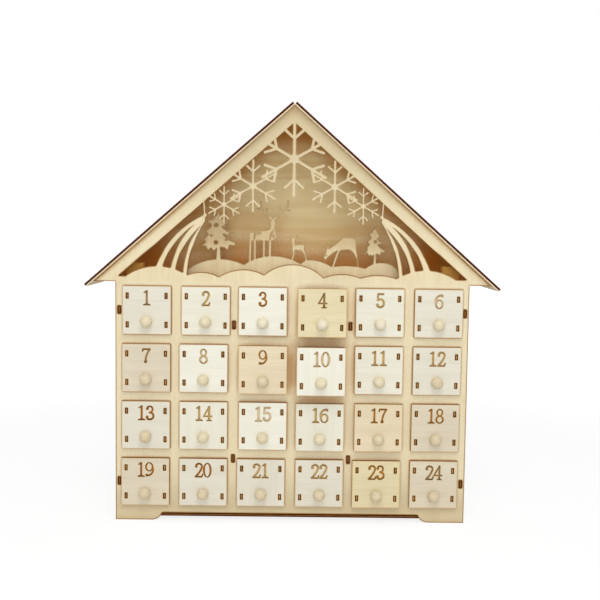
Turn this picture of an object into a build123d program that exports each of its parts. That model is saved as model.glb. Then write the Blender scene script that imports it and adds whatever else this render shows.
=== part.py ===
"""Wooden advent calendar: a plywood house with numbered drawers under a fretwork gable."""

import os
from math import cos, radians, sin, tan

from build123d import *

# Sizes are in millimetres. X runs to the right, Y into the house and Z up from the ground.

# Sheets and the joints between them
PLY = 3.0
TRAY_PLY = 2.7
KERF = 0.1
WALL_TAB = 7.6
BOARD_TAB = 20.0
ROOF_TAB = 16.0
FRONT_TAB = 5.6
DIVIDER_TAB_RISE = 23.3
DIVIDER_TAB_DROP = 13.6

# Grid of drawers
COLUMNS = 6
ROWS = 4
COLUMN_PITCH = 56.5
ROW_PITCH = 56.2
LOWEST_ROW_Z = 39.0

# House
HOUSE_DEPTH = 62.0
SIDE_MARGIN = 6.85
WALL_INSET = 2.3
FOOT_LENGTH = 36.0
FOOT_CURVE = 9.5
FOOT_CURVE_SAG = 1.9
NOTCH_HEIGHT = 7.4
BASE_BOARD_Z = 3.2
EAVE_RISE = 27.4
WALL_TOP_GAP = 0.3
BLOCK_WIDTH = 18.0
BLOCK_HEIGHT = 17.5
BLOCK_DEPTH = 14.0
BLOCK_ROOF_GAP = 1.0

# Gable and roof
GABLE_HEIGHT = 170.4
ROOF_SLOPE = 41.5
ROOF_SPAN = 400.0
ROOF_OVERHANG = 8.0
RIDGE_GAP = 0.1
ROOF_TAB_PLACES = (0.3, 0.8)
GABLE_BORDER = 12.0
SILL_RISE = 5.5
SCENE_SETBACK = 20.0
SCENE_TAB_X = 70.0

# Drawers
FRONT_SIZE = 46.8
TRAY_INSET = 3.3
TRAY_HEIGHT = 40.0
TRAY_REAR_GAP = 3.0
TRAY_SIDE_GAP = 1.4
TRAY_TOP_GAP = 1.4
TRAY_LIFT = 0.2
FRONT_TAB_OFFSET = 14.0
KNOB_RADIUS = 5.75
KNOB_STANDOFF = 4.4
KNOB_DROP = 10.7
STUB_RADIUS = 2.0
STUB_GAP = 0.3
NUMBER_RISE = 12.0
ENGRAVING_DEPTH = 0.5

# How far the drawers that are not pushed home stand out, and how far rows and drawers sit to one side
AJAR = {4: 8.0, 9: 5.0, 10: 12.0, 16: 3.0, 17: 1.5, 23: 1.5}
ROW_SHIFTS = (0.5, 0.0, -0.3, -0.8)
SIDE_SHIFTS = {2: 0.5, 3: -0.9, 5: -0.4, 8: -0.9, 9: 0.3, 14: -0.5, 15: 0.8, 17: 0.7, 22: 0.7}

# Heights of the tabs that hold the walls and two of the dividers to the front and back panels
TOP_ROW_Z = LOWEST_ROW_Z + (ROWS - 1) * ROW_PITCH
WALL_TAB_HEIGHTS = (LOWEST_ROW_Z, TOP_ROW_Z)
DIVIDER_TAB_HEIGHTS = (LOWEST_ROW_Z + DIVIDER_TAB_RISE, TOP_ROW_Z - DIVIDER_TAB_DROP)
TABBED_DIVIDERS = range(1, COLUMNS - 1, 2)

# Worked out from the sizes above
BODY_HALF = (COLUMNS - 1) * COLUMN_PITCH / 2 + FRONT_SIZE / 2 + SIDE_MARGIN
WALL_OUTER = BODY_HALF - WALL_INSET
WALL_INNER = WALL_OUTER - PLY
EAVE_Z = TOP_ROW_Z + EAVE_RISE
RIDGE_Z = EAVE_Z + GABLE_HEIGHT
SLOPE_SIN = sin(radians(ROOF_SLOPE))
SLOPE_COS = cos(radians(ROOF_SLOPE))
SLOPE_TAN = tan(radians(ROOF_SLOPE))
WING_HALF = GABLE_HEIGHT / SLOPE_TAN
GABLE_EDGE = GABLE_HEIGHT / SLOPE_SIN
ROOF_LENGTH = (ROOF_SPAN / 2 - PLY * SLOPE_SIN) / SLOPE_COS
BLOCK_OUTER = min(WALL_INNER, WING_HALF - (BLOCK_HEIGHT + BLOCK_ROOF_GAP) / SLOPE_TAN)
WINDOW_APEX_Z = RIDGE_Z - GABLE_BORDER / SLOPE_COS
SILL_Z = EAVE_Z + SILL_RISE
WINDOW_HALF = (WINDOW_APEX_Z - SILL_Z) / SLOPE_TAN
TRAY_WIDTH = FRONT_SIZE - 2 * TRAY_INSET
TRAY_LENGTH = HOUSE_DEPTH - PLY - TRAY_REAR_GAP
OPENING_WIDTH = TRAY_WIDTH + 2 * TRAY_SIDE_GAP
OPENING_BOTTOM = -TRAY_HEIGHT / 2 - TRAY_LIFT
OPENING_TOP = TRAY_HEIGHT / 2 + TRAY_TOP_GAP
KNOB_REACH = KNOB_STANDOFF + KNOB_RADIUS

# The middle of the whole depth, from the foremost knob to the roof's rear edge, is at Y = 0
FRONT_Y = (PLY + KNOB_REACH + max(AJAR.values()) - HOUSE_DEPTH - ROOF_OVERHANG) / 2
REAR_Y = FRONT_Y + HOUSE_DEPTH
INNER_FRONT_Y = FRONT_Y + PLY
INNER_REAR_Y = REAR_Y - PLY
MIDDLE_Y = (FRONT_Y + REAR_Y) / 2

COLUMN_XS = [(column - (COLUMNS - 1) / 2) * COLUMN_PITCH for column in range(COLUMNS)]
ROW_ZS = [TOP_ROW_Z - row * ROW_PITCH for row in range(ROWS)]
DIVIDER_XS = [(left + right) / 2 for left, right in zip(COLUMN_XS, COLUMN_XS[1:])]
SHELF_ZS = [row_z + OPENING_BOTTOM - PLY for row_z in ROW_ZS]


# Flat shapes and the planes that they stand in


def area(low_x, low_y, high_x, high_y):
    """Rectangle given by two opposite corners."""
    middle = ((low_x + high_x) / 2, (low_y + high_y) / 2)
    return Pos(*middle) * Rectangle(high_x - low_x, high_y - low_y)


def path(start, *steps):
    """Edges from start; a step is the next corner, or a (through, end) pair for an arc."""
    edges = []
    here = start
    for step in steps:
        if isinstance(step[0], tuple):
            edges.append(ThreePointArc(here, *step))
            here = step[1]
        else:
            edges.append(Line(here, step))
            here = step
    return edges


def outline(start, *steps):
    """Face inside a closed path."""
    return make_face(path(start, *steps, start))


def stroke(width, start, *steps):
    """Face of a pen of the given width drawn along a path."""
    return trace(path(start, *steps), width)


def disc(x, y, radius):
    """Round face about a point."""
    return Pos(x, y) * Circle(radius)


def joined(shapes):
    """One flat shape from many that meet or cross."""
    return Sketch() + list(shapes)


def facing(face, y, thickness=PLY):
    """Sheet whose face looks to the front from depth y."""
    plane = Plane(origin=(0, y, 0), x_dir=(1, 0, 0), z_dir=(0, -1, 0))
    return extrude(plane * face, amount=-thickness)


def sideways(face, x, thickness=PLY):
    """Sheet drawn in Y and Z whose left face is at x."""
    plane = Plane(origin=(x, 0, 0), x_dir=(0, 1, 0), z_dir=(1, 0, 0))
    return extrude(plane * face, amount=thickness)


def level(face, z, thickness=PLY):
    """Sheet drawn in X and Y whose underside is at z."""
    return extrude(Pos(0, 0, z) * face, amount=thickness)


def group(solids):
    """Separate solids kept together as one node."""
    return Compound(children=[solid for shape in solids for solid in shape.solids()])


def mirrored(shape):
    """The same shape on the other side of the house's middle."""
    return mirror(shape, about=Plane.YZ)


# Figures cut in the gable


def border_z(x):
    """Height of the window's sloping edge."""
    return WINDOW_APEX_Z - abs(x) * SLOPE_TAN


def snowflake(x, drop, radius):
    """Six-armed flake whose middle is the drop below the window's sloping edge."""
    hub_radius = 0.135 * radius
    arm_width = 0.083 * radius
    branch_width = 0.075 * radius
    branch_root = 0.54 * radius
    branch_length = 0.36 * radius
    branch_turn = 48
    arm = Pos(radius / 2, 0) * Rectangle(radius, arm_width)
    branch = Pos(branch_length / 2, 0) * Rectangle(branch_length, branch_width)
    limbs = [arm]
    for turn in (-branch_turn, branch_turn):
        limbs.append(Pos(branch_root, 0) * Rot(0, 0, turn) * branch)
    shapes = [Circle(hub_radius)]
    for arm_turn in range(30, 360, 60):
        shapes += [Rot(0, 0, arm_turn) * limb for limb in limbs]
    return Pos(x, border_z(x) - drop) * joined(shapes)


def shooting_star():
    """Left-hand star with three tails that run down into the snow, hung from the border."""
    tails = outline(
        (-85.2, 59.8),
        ((-107.2, 45.7), (-135.0, 3.0)),
        (-127.2, 3.0),
        ((-112.4, 34.6), (-95.4, 50.3)),
        ((-108.2, 34.2), (-119.5, 2.5)),
        (-113.8, 2.5),
        ((-103.6, 32.2), (-89.1, 49.0)),
        ((-100.0, 31.0), (-106.6, 0.5)),
        (-102.2, 0.5),
        ((-95.6, 33.0), (-85.0, 54.0)),
    )
    head_z = SILL_Z + 59.4
    strand = stroke(1.2, (-85.4, head_z), (-86.4, border_z(-86.4) + 1.0))
    return joined([Pos(0, SILL_Z) * tails, disc(-85.0, head_z, 1.6), strand])


def snow():
    """Scalloped snow along the window's sill."""
    scallops = [
        ((-132.0, 10.0), (-102.2, 1.6)),
        ((-87.8, 4.6), (-71.4, 0.2)),
        ((-49.2, 7.5), (-27.9, 2.6)),
        ((1.0, 13.0), (29.9, 0.5)),
        ((47.5, 4.2), (65.5, 0.7)),
        ((81.4, 3.6), (100.4, 0.5)),
        ((127.8, 9.0), (158.0, 0.2)),
    ]
    return Pos(0, SILL_Z) * outline((-158.0, -1.0), (-161.6, 0.2), *scallops, (158.0, -1.0))


def sized(step, width, height):
    """A step of a path that was given in shares of a width and a height."""
    if isinstance(step[0], tuple):
        return tuple(sized(point, width, height) for point in step)
    return (step[0] * width, step[1] * height)


def fir(half_width, height, holes):
    """Three-tiered fir standing at the origin, ragged on its left, with round holes in its crown."""
    full_side = [
        ((0.16, 0.86), (0.57, 0.72)),
        (0.36, 0.71),
        (0.43, 0.665),
        (0.18, 0.675),
        ((0.49, 0.58), (0.98, 0.555)),
        (0.60, 0.53),
        (0.63, 0.495),
        (0.24, 0.52),
        ((0.53, 0.42), (1.0, 0.35)),
        (0.93, 0.28),
        (0.64, 0.30),
        (0.53, 0.19),
        (0.34, 0.245),
        (0.10, 0.25),
        (0.15, -0.04),
        (0.0, -0.04),
    ]
    ragged_side = [
        ((0.12, 0.90), (0.42, 0.86)),
        (0.24, 0.825),
        (0.72, 0.775),
        (0.50, 0.735),
        (0.40, 0.69),
        ((0.55, 0.62), (0.78, 0.58)),
        (0.64, 0.535),
        (0.56, 0.50),
        (0.84, 0.405),
        (0.72, 0.36),
        (1.0, 0.26),
        (0.76, 0.28),
        (0.61, 0.18),
        (0.44, 0.235),
        (0.25, 0.17),
        (0.10, 0.235),
        (0.15, -0.04),
        (0.0, -0.04),
    ]
    full, ragged = (
        outline((0.0, height), *[sized(step, half_width, height) for step in side])
        for side in (full_side, ragged_side)
    )
    return joined([full, mirrored(ragged)]) - [disc(*hole) for hole in holes]


def stag():
    """Standing stag, with its antlers and two slits that show the hip and the mane."""
    body = outline(
        (-11.7, 22.9),
        ((-10.6, 25.4), (-8.4, 26.2)),
        (7.0, 28.2),
        ((9.9, 30.0), (10.4, 33.0)),
        (9.5, 36.0),
        (12.4, 39.4),
        (14.4, 39.4),
        (15.6, 35.0),
        (14.6, 31.6),
        ((15.6, 27.0), (16.8, 22.8)),
        ((15.4, 19.8), (11.5, 17.6)),
        (2.8, 17.8),
        (-6.0, 17.8),
        (-10.4, 17.4),
        (-9.9, 21.2),
    )
    legs = [
        outline((8.6, 20.0), (11.7, 20.0), (11.1, -1.5), (8.9, -1.5)),
        outline((2.8, 20.0), (5.4, 20.0), (5.0, -1.5), (3.1, -1.5)),
        outline((-6.2, 20.0), (-3.6, 20.0), (-3.8, -4.0), (-5.8, -4.0)),
        outline((-10.5, 20.0), (-8.0, 20.0), (-8.5, -6.0), (-10.7, -6.0)),
    ]
    antlers = [
        stroke(1.9, (12.6, 38.6), ((8.4, 43.4), (3.2, 47.4)), (0.2, 51.4), (1.0, 56.4)),
        stroke(1.9, (13.8, 38.6), ((17.8, 44.2), (24.2, 48.0)), (27.6, 51.8), (27.6, 58.0)),
    ]
    tines = [
        stroke(1.5, (11.6, 38.8), (5.4, 43.0)),
        stroke(1.3, (6.2, 45.0), (6.8, 50.0)),
        stroke(1.3, (2.4, 48.4), (-3.4, 49.4)),
        stroke(1.5, (14.6, 38.8), (19.2, 41.4)),
        stroke(1.3, (19.8, 45.8), (19.4, 50.8)),
        stroke(1.3, (24.6, 48.4), (29.6, 47.6)),
    ]
    slits = [
        stroke(0.9, (1.1, 24.8), (-4.6, 24.8), (-5.5, 19.4)),
        stroke(0.9, (13.3, 28.0), ((11.0, 24.0), (10.0, 19.0))),
        stroke(0.9, (13.4, 24.0), (13.6, 20.6)),
    ]
    return joined([body, *legs, *antlers, *tines]) - slits


def fawn():
    """Young deer that looks to the left."""
    return outline(
        (-8.3, 19.6),
        (-0.4, 24.7),
        (-3.2, 19.3),
        (-3.2, 13.8),
        ((1.6, 14.8), (6.5, 13.8)),
        (5.8, 9.4),
        ((7.6, 5.2), (8.8, -3.0)),
        (7.0, -3.0),
        ((5.4, 5.4), (2.6, 8.8)),
        (-0.2, 8.2),
        (-3.2, 9.4),
        (-3.4, 5.2),
        (-5.2, -1.0),
        (-7.2, -1.0),
        (-5.2, 5.4),
        (-6.4, 10.2),
        (-6.2, 12.7),
        (-6.6, 17.4),
    )


def doe():
    """Grazing deer, its head down to the left, with a hole for its eye."""
    body = outline(
        (-14.0, 24.4),
        (-12.9, 18.2),
        (-5.9, 22.9),
        (0.9, 29.7),
        (8.4, 29.3),
        ((12.6, 28.4), (14.3, 26.6)),
        (14.0, 19.6),
        (15.2, 13.7),
        (17.0, -1.5),
        (15.0, -1.5),
        ((12.6, 12.4), (7.6, 17.5)),
        (-0.9, 16.9),
        (-2.6, 14.9),
        (-8.4, -2.0),
        (-10.6, -2.0),
        (-4.4, 16.4),
        (-8.8, 13.9),
        (-13.7, 9.4),
        (-16.4, 6.7),
        (-18.0, 9.8),
        (-15.8, 14.8),
    )
    return body - disc(-15.4, 11.4, 0.5)


def scene_face():
    """Hills with the deer and the firs, drawn upwards from the attic floor."""
    hills = outline(
        (-106.0, 0.0),
        (-106.0, 10.5),
        ((-78.0, 21.9), (-48.6, 17.0)),
        ((-19.0, 25.9), (7.2, 18.6)),
        (12.8, 22.4),
        ((26.4, 21.2), (38.4, 15.8)),
        ((53.0, 17.1), (71.6, 14.6)),
        ((84.0, 20.4), (106.0, 11.5)),
        (106.0, 0.0),
    )
    large_holes = [(-2.3, 33.9, 1.9), (-2.6, 17.0, 1.9), (-7.0, 23.6, 0.9), (7.6, 19.6, 0.9)]
    figures = [
        Pos(-73.7, 21.6) * fir(17.0, 48.7, large_holes),
        Pos(80.7, 19.8) * fir(10.0, 37.0, [(0.3, 21.5, 1.3)]),
        Pos(-33.0, 23.0) * stag(),
        Pos(5.0, 23.0) * fawn(),
        Pos(48.0, 15.5) * doe(),
    ]
    tabs = [area(x - BOARD_TAB / 2, -PLY, x + BOARD_TAB / 2, PLY) for x in (-SCENE_TAB_X, SCENE_TAB_X)]
    return Pos(0, EAVE_Z) * joined([hills, *figures, *tabs])


# Sheets of the house


def house_outline():
    """House front with feet, eaves and the tabs that hold the roof plates."""
    toe_x = BODY_HALF - FOOT_LENGTH
    curve_x = toe_x - FOOT_CURVE
    sag_x = (toe_x + curve_x) / 2 - FOOT_CURVE_SAG * SLOPE_SIN
    sag_z = NOTCH_HEIGHT / 2 - FOOT_CURVE_SAG * SLOPE_COS
    house = outline(
        (-BODY_HALF, 0.0),
        (-toe_x, 0.0),
        ((-sag_x, sag_z), (-curve_x, NOTCH_HEIGHT)),
        (curve_x, NOTCH_HEIGHT),
        ((sag_x, sag_z), (toe_x, 0.0)),
        (BODY_HALF, 0.0),
        (BODY_HALF, EAVE_Z),
        (WING_HALF, EAVE_Z),
        (0.0, RIDGE_Z),
        (-WING_HALF, EAVE_Z),
        (-BODY_HALF, EAVE_Z),
    )
    tabs = []
    for place in ROOF_TAB_PLACES:
        along = place * GABLE_EDGE
        foot = Pos(along * SLOPE_COS, RIDGE_Z - along * SLOPE_SIN)
        tab = foot * Rot(0, 0, -ROOF_SLOPE) * Rectangle(ROOF_TAB, 2 * PLY)
        tabs += [tab, mirrored(tab)]
    return joined([house, *tabs])


def upright_slots():
    """Slots in the front and back panels for the tabs of the walls and dividers."""
    wall_x = (WALL_OUTER + WALL_INNER) / 2
    places = [(x, z) for x in (-wall_x, wall_x) for z in WALL_TAB_HEIGHTS]
    places += [(DIVIDER_XS[number], z) for number in TABBED_DIVIDERS for z in DIVIDER_TAB_HEIGHTS]
    slot = Rectangle(PLY + 2 * KERF, WALL_TAB + 2 * KERF)
    return [Pos(*place) * slot for place in places]


def front_panel():
    """Front of the house with its drawer openings and the fretwork in its gable."""
    opening = area(-OPENING_WIDTH / 2, OPENING_BOTTOM, OPENING_WIDTH / 2, OPENING_TOP)
    openings = [Pos(x, z) * opening for x in COLUMN_XS for z in ROW_ZS]
    window = outline((-WINDOW_HALF, SILL_Z), (WINDOW_HALF, SILL_Z), (0.0, WINDOW_APEX_Z))
    star = shooting_star()
    medium_flake = snowflake(-39.2, 26.4, 25.2)
    small_flake = snowflake(-66.9, 20.0, 17.4)
    fretwork = joined(
        [
            snowflake(0.0, 35.0, 36.0),
            medium_flake,
            mirrored(medium_flake),
            small_flake,
            mirrored(small_flake),
            star,
            mirrored(star),
            snow(),
        ]
    )
    face = house_outline() - openings - upright_slots() - (window - fretwork)
    return facing(face, FRONT_Y)


def back_panel():
    """Closed back of the house."""
    return facing(house_outline() - upright_slots(), INNER_REAR_Y)


def board_slots():
    """Slots in a side wall for the tabs of the boards that lie between the walls."""
    board_zs = [*SHELF_ZS, BASE_BOARD_Z, EAVE_Z - PLY]
    slot = Rectangle(BOARD_TAB + 2 * KERF, PLY + 2 * KERF)
    return [Pos(MIDDLE_Y, z + PLY / 2) * slot for z in board_zs]


def panel_tabs(heights):
    """Strips that reach through the front and the back panel."""
    return [area(FRONT_Y, z - WALL_TAB / 2, REAR_Y, z + WALL_TAB / 2) for z in heights]


def side_wall():
    """Left-hand wall, from the ground to just under the roof."""
    top_z = RIDGE_Z - WALL_OUTER * SLOPE_TAN - WALL_TOP_GAP
    sheet = area(INNER_FRONT_Y, 0.0, INNER_REAR_Y, top_z)
    return sideways(joined([sheet, *panel_tabs(WALL_TAB_HEIGHTS)]) - board_slots(), -WALL_OUTER)


def divider(number):
    """Upright between two columns, slotted from the front to take the shelves."""
    sheet = area(INNER_FRONT_Y, BASE_BOARD_Z + PLY, INNER_REAR_Y, EAVE_Z - PLY)
    halvings = [area(INNER_FRONT_Y, z - KERF, MIDDLE_Y + KERF, z + PLY + KERF) for z in SHELF_ZS]
    sheet = sheet - halvings
    if number in TABBED_DIVIDERS:
        sheet = joined([sheet, *panel_tabs(DIVIDER_TAB_HEIGHTS)])
    return sideways(sheet, DIVIDER_XS[number] - PLY / 2)


def board():
    """Sheet that lies between the side walls, with a tab into each."""
    sheet = area(-WALL_INNER, INNER_FRONT_Y, WALL_INNER, INNER_REAR_Y)
    tabs = area(-WALL_OUTER, MIDDLE_Y - BOARD_TAB / 2, WALL_OUTER, MIDDLE_Y + BOARD_TAB / 2)
    return joined([sheet, tabs])


def shelf(z):
    """Board under a row of drawers, slotted from the rear to take the dividers."""
    half_slot = PLY / 2 + KERF
    halvings = [area(x - half_slot, MIDDLE_Y - KERF, x + half_slot, INNER_REAR_Y) for x in DIVIDER_XS]
    return level(board() - halvings, z)


def attic_floor():
    """Board above the drawers, with slots for the scene panel's tabs."""
    scene_y = FRONT_Y + SCENE_SETBACK + PLY / 2
    slot = Rectangle(BOARD_TAB + 2 * KERF, PLY + 2 * KERF)
    slots = [Pos(x, scene_y) * slot for x in (-SCENE_TAB_X, SCENE_TAB_X)]
    return level(board() - slots, EAVE_Z - PLY)


def roof_plate():
    """Right-hand roof plate, laid on the gables and slotted for their tabs."""
    sheet = area(RIDGE_GAP, FRONT_Y - ROOF_OVERHANG, ROOF_LENGTH, REAR_Y + ROOF_OVERHANG)
    slot = Rectangle(ROOF_TAB + 2 * KERF, PLY + 2 * KERF)
    panel_ys = (FRONT_Y + PLY / 2, REAR_Y - PLY / 2)
    slots = [Pos(place * GABLE_EDGE, y) * slot for place in ROOF_TAB_PLACES for y in panel_ys]
    down_slope = (SLOPE_COS, 0, -SLOPE_SIN)
    outward = (SLOPE_SIN, 0, SLOPE_COS)
    plane = Plane(origin=(0, 0, RIDGE_Z), x_dir=down_slope, z_dir=outward)
    return extrude(plane * (sheet - slots), amount=PLY)


def corner_block():
    """Left-hand block in the corner of the attic floor and the wall."""
    low_y = MIDDLE_Y - BLOCK_DEPTH / 2
    face = area(-BLOCK_OUTER, EAVE_Z, -BLOCK_OUTER + BLOCK_WIDTH, EAVE_Z + BLOCK_HEIGHT)
    return facing(face, low_y, BLOCK_DEPTH)


# Numerals, drawn in a box 9 wide and 14.5 high from its lower left corner

DIGIT_MIDDLE = (4.5, 7.25)
DIGIT_PITCH = 8.2


def ring(x, y, outer, inner):
    """Elliptical ring whose sides may be thicker than its top and bottom."""
    return Pos(x, y) * (Ellipse(*outer) - Ellipse(*inner))


def six():
    """Bowl with a spine that ends in a drop."""
    return [
        ring(4.7, 4.5, (3.9, 4.5), (2.5, 3.6)),
        stroke(1.5, (1.55, 4.8), ((3.1, 11.8), (7.3, 13.2))),
        disc(7.2, 12.6, 1.2),
    ]


def digit_shapes():
    """Strokes of each numeral, by its value."""
    nine = [Pos(9.0, 14.5) * Rot(0, 0, 180) * shape for shape in six()]
    return {
        0: [ring(*DIGIT_MIDDLE, (4.2, 7.25), (2.4, 6.4))],
        1: [
            area(3.75, 0.5, 5.45, 14.5),
            stroke(1.1, (4.6, 13.9), (1.9, 12.2)),
            outline((1.2, 0.0), (8.0, 0.0), (8.0, 0.9), (5.4, 1.9), (3.8, 1.9), (1.2, 0.9)),
        ],
        2: [
            stroke(1.6, (1.6, 11.0), ((4.7, 13.7), (7.6, 10.6)), ((5.5, 5.9), (1.4, 0.9))),
            area(0.7, 0.0, 8.0, 1.4),
            stroke(1.2, (7.4, 0.8), (8.4, 3.5)),
            disc(2.0, 10.9, 1.2),
        ],
        3: [
            stroke(1.5, (1.7, 11.4), ((4.3, 13.7), (7.0, 10.7)), ((6.1, 8.5), (3.6, 7.5))),
            stroke(1.7, (3.6, 7.5), ((7.8, 4.2), (4.2, 0.9)), ((2.0, 1.6), (1.2, 3.2))),
            disc(1.9, 11.3, 1.2),
            disc(1.8, 3.3, 1.3),
        ],
        4: [
            stroke(1.2, (6.1, 13.9), (0.9, 4.6), (9.0, 4.6)),
            area(5.25, 0.4, 6.95, 14.5),
            area(3.6, 0.0, 8.6, 0.9),
        ],
        5: [
            area(1.7, 12.9, 8.0, 14.4),
            stroke(1.2, (2.3, 13.8), (1.9, 7.2)),
            stroke(1.6, (1.9, 7.5), ((5.2, 8.6), (7.8, 4.9)), ((5.9, 1.3), (1.4, 2.6))),
            disc(1.8, 3.2, 1.2),
        ],
        6: six(),
        7: [
            area(1.0, 12.8, 8.7, 14.3),
            stroke(1.2, (1.6, 14.0), (1.0, 11.2)),
            stroke(1.5, (8.0, 13.4), ((5.0, 7.6), (4.0, 1.8))),
            disc(4.0, 1.5, 1.5),
        ],
        8: [ring(4.5, 10.9, (3.2, 3.6), (1.9, 2.7)), ring(4.5, 3.9, (4.0, 3.9), (2.5, 2.9))],
        9: nine,
    }


def digit_faces():
    """Each numeral about its own middle."""
    middle = Pos(-DIGIT_MIDDLE[0], -DIGIT_MIDDLE[1])
    return {value: middle * joined(shapes) for value, shapes in digit_shapes().items()}


def number_faces(number, digits):
    """Numerals of a number, side by side about the origin."""
    figures = [int(figure) for figure in str(number)]
    first_x = -(len(figures) - 1) / 2 * DIGIT_PITCH
    return [Pos(first_x + place * DIGIT_PITCH, 0) * digits[figure] for place, figure in enumerate(figures)]


# Drawers, drawn about the middle of their fronts


def front_plate(number, digits):
    """Front with the tray's slots, the knob's hole and the engraved number."""
    slot = Rectangle(TRAY_PLY + 2 * KERF, FRONT_TAB + 2 * KERF)
    slot_x = (TRAY_WIDTH - TRAY_PLY) / 2
    slots = [Pos(x, z) * slot for x in (-slot_x, slot_x) for z in (-FRONT_TAB_OFFSET, FRONT_TAB_OFFSET)]
    knob_hole = disc(0.0, -KNOB_DROP, STUB_RADIUS + STUB_GAP)
    plate = facing(Rectangle(FRONT_SIZE, FRONT_SIZE) - slots - knob_hole, FRONT_Y - PLY)
    for face in number_faces(number, digits):
        plate -= facing(Pos(0, NUMBER_RISE) * face, FRONT_Y - PLY, ENGRAVING_DEPTH)
    return plate


def knob():
    """Turned ball, flat where it sits on the front, with a stub behind it."""
    ball = Pos(0, 0, KNOB_STANDOFF) * Sphere(KNOB_RADIUS)
    ball = split(ball, bisect_by=Plane.XY, keep=Keep.TOP)
    stub = extrude(Circle(STUB_RADIUS), amount=-PLY)
    seat = Plane(origin=(0, FRONT_Y - PLY, -KNOB_DROP), x_dir=(1, 0, 0), z_dir=(0, -1, 0))
    return seat * (ball + stub)


def tray():
    """Open box behind a front: two sides with tabs, a back and a base."""
    low_z = -TRAY_HEIGHT / 2
    rear_y = FRONT_Y + TRAY_LENGTH
    inner_half = TRAY_WIDTH / 2 - TRAY_PLY
    side_sheet = area(FRONT_Y, low_z, rear_y, -low_z)
    tabs = [
        area(FRONT_Y - PLY, z - FRONT_TAB / 2, FRONT_Y, z + FRONT_TAB / 2)
        for z in (-FRONT_TAB_OFFSET, FRONT_TAB_OFFSET)
    ]
    side = sideways(joined([side_sheet, *tabs]), -TRAY_WIDTH / 2, TRAY_PLY)
    back = facing(area(-inner_half, low_z, inner_half, -low_z), rear_y - TRAY_PLY, TRAY_PLY)
    base = level(area(-inner_half, FRONT_Y, inner_half, rear_y - TRAY_PLY), low_z, TRAY_PLY)
    return [side, mirrored(side), back, base]


def write_drawers():
    """Write the front and the tray of every drawer, the lowest number at the top left."""
    digits = digit_faces()
    knob_shape = knob()
    tray_solids = tray()
    for number in range(1, COLUMNS * ROWS + 1):
        row, column = divmod(number - 1, COLUMNS)
        x = COLUMN_XS[column] + ROW_SHIFTS[row] + SIDE_SHIFTS.get(number, 0.0)
        place = Pos(x, -AJAR.get(number, 0.0), ROW_ZS[row])
        front = group([place * front_plate(number, digits), place * knob_shape])
        export_step(front, f"parts/drawer_{number:02d}_front.step")
        export_step(group([place * solid for solid in tray_solids]), f"parts/drawer_{number:02d}_tray.step")


def write_house():
    """Write the sheets of the house."""
    wall = side_wall()
    plate = roof_plate()
    block = corner_block()
    nodes = {
        "front_panel": front_panel(),
        "back_panel": back_panel(),
        "left_side": wall,
        "right_side": mirrored(wall),
        "base_board": level(board(), BASE_BOARD_Z),
        "shelves": group([shelf(z) for z in SHELF_ZS]),
        "dividers": group([divider(number) for number in range(len(DIVIDER_XS))]),
        "attic_floor": attic_floor(),
        "scene_panel": facing(scene_face(), FRONT_Y + SCENE_SETBACK),
        "corner_blocks": group([block, mirrored(block)]),
        "roof_left": mirrored(plate),
        "roof_right": plate,
    }
    for name, shape in nodes.items():
        export_step(shape, f"parts/{name}.step")


os.makedirs("parts", exist_ok=True)
write_house()
write_drawers()
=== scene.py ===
"""Looks of a wooden advent calendar: a laser-cut plywood house with numbered drawers and turned knobs."""

import logging
import math
from dataclasses import dataclass
from enum import Enum, IntEnum
from typing import Iterable, Sequence

import bmesh
import bpy
from mathutils import Color, Matrix, Vector


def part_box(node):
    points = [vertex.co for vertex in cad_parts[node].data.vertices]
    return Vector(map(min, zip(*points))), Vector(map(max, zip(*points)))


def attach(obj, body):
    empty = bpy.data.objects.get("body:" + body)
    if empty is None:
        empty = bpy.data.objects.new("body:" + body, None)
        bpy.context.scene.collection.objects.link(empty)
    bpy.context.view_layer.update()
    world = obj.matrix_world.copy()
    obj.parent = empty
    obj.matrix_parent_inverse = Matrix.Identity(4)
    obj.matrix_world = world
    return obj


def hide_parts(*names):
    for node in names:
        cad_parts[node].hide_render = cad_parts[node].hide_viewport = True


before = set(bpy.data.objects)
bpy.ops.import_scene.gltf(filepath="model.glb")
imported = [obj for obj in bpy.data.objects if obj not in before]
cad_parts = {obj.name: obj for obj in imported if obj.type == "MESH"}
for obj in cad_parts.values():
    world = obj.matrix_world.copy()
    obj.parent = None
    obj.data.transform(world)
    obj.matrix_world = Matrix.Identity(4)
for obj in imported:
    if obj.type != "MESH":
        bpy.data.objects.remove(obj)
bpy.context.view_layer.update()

LOG = logging.getLogger("advent_calendar")

Colour = tuple[float, float, float, float]
Size = tuple[float, float, float]
Place = tuple[float, float, float]
Span = tuple[float, float]
Socket = bpy.types.NodeSocket
Material = bpy.types.Material
Mesh = bmesh.types.BMesh
Face = bmesh.types.BMFace

# Lengths are in metres, as in the frame
PLY = 0.0030
TRAY_PLY = 0.0027
MERGE_DISTANCE = 0.000002
DEPTH_TOLERANCE = 0.00002
# Length of the stock that sheets are cut from, and the share that scatters their places in it
SHEET_STOCK = 0.6
GOLDEN_SHARE = 0.618034

ROOF_SLOPE = math.radians(41.5)
SMOOTH_ANGLE = math.radians(28.0)
FLAT_ANGLE = math.radians(1.0)
# Least cosine between two directions that count as the same
SQUARE_ON = 0.9

SHEET_ATTRIBUTE = "sheet"
STORED_NORMALS = "custom_normal"
# Material number of a sheet's outside, after its inside and its edges
OUTSIDE_INDEX = 2
# Material number that gives an eased edge the material beside it
NEIGHBOUR_INDEX = -1

# Size of a pattern through a sheet, so long that the pattern stays the same there
THROUGH = 1.0
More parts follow.
